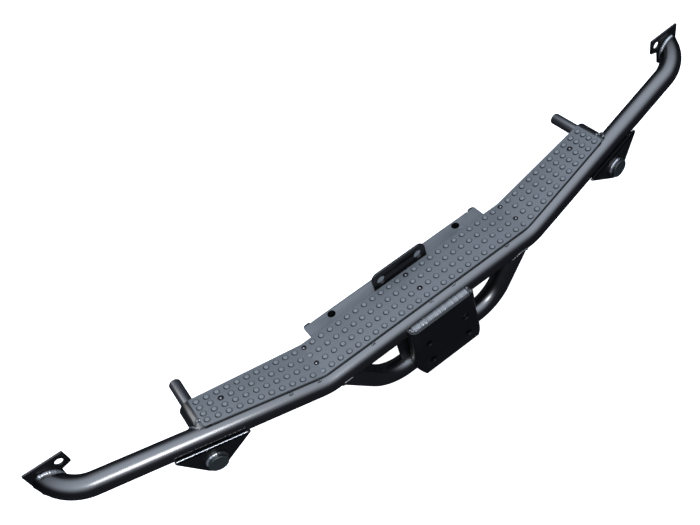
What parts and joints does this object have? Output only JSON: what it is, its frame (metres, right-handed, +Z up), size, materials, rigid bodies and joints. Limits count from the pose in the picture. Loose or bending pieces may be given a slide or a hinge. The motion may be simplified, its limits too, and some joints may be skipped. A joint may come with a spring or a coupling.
{
  "type": "rear step",
  "caption": "Full-width welded rear step: bent tube with a raised-dimple tread, support plate, folded tow bracket on a hoop, chassis pins and end plates.",
  "frame": {"origin": "middle of the support plate's bolt line, on the plate's top face at mid-width", "axes": "+X to the vehicle's right along the step, +Y forward into the vehicle, +Z up"},
  "size_m": [1.8324, 0.2425, 0.3663],
  "materials": {
    "gloss_black_tube": "gloss black enamel",
    "tread_coating": "matte blue-grey powder coat",
    "pan_coating": "matte blue-grey powder coat",
    "plate_coating": "satin black powder coat",
    "screw_steel": "black oxide, satin",
    "pin_steel": "black oxide, satin",
    "cap_coating": "satin black",
    "weld_coating": "gloss black over weld ripples"
  },
  "bodies": {
    "root": {"main_tube": "gloss_black_tube", "hoop_tube": "gloss_black_tube", "jack_tube_left": "gloss_black_tube", "jack_tube_right": "gloss_black_tube", "cross_sleeve_left": "gloss_black_tube", "cross_sleeve_right": "gloss_black_tube", "tread_plate": "tread_coating", "step_pan": "pan_coating", "support_plate": "pan_coating", "hitch_lug": "plate_coating", "web_plate": "plate_coating", "tow_bracket": "plate_coating", "gusset_left": "plate_coating", "gusset_right": "plate_coating", "end_plate_left": "plate_coating", "end_plate_right": "plate_coating", "tread_screws": "screw_steel", "chassis_pin_left": "pin_steel", "chassis_pin_right": "pin_steel", "tube_cap_left": "cap_coating", "tube_cap_right": "cap_coating", "bracket_bead": "weld_coating", "end_beads": "weld_coating", "boss_beads": "weld_coating", "gusset_beads": "weld_coating"}
  },
  "joints": []
}
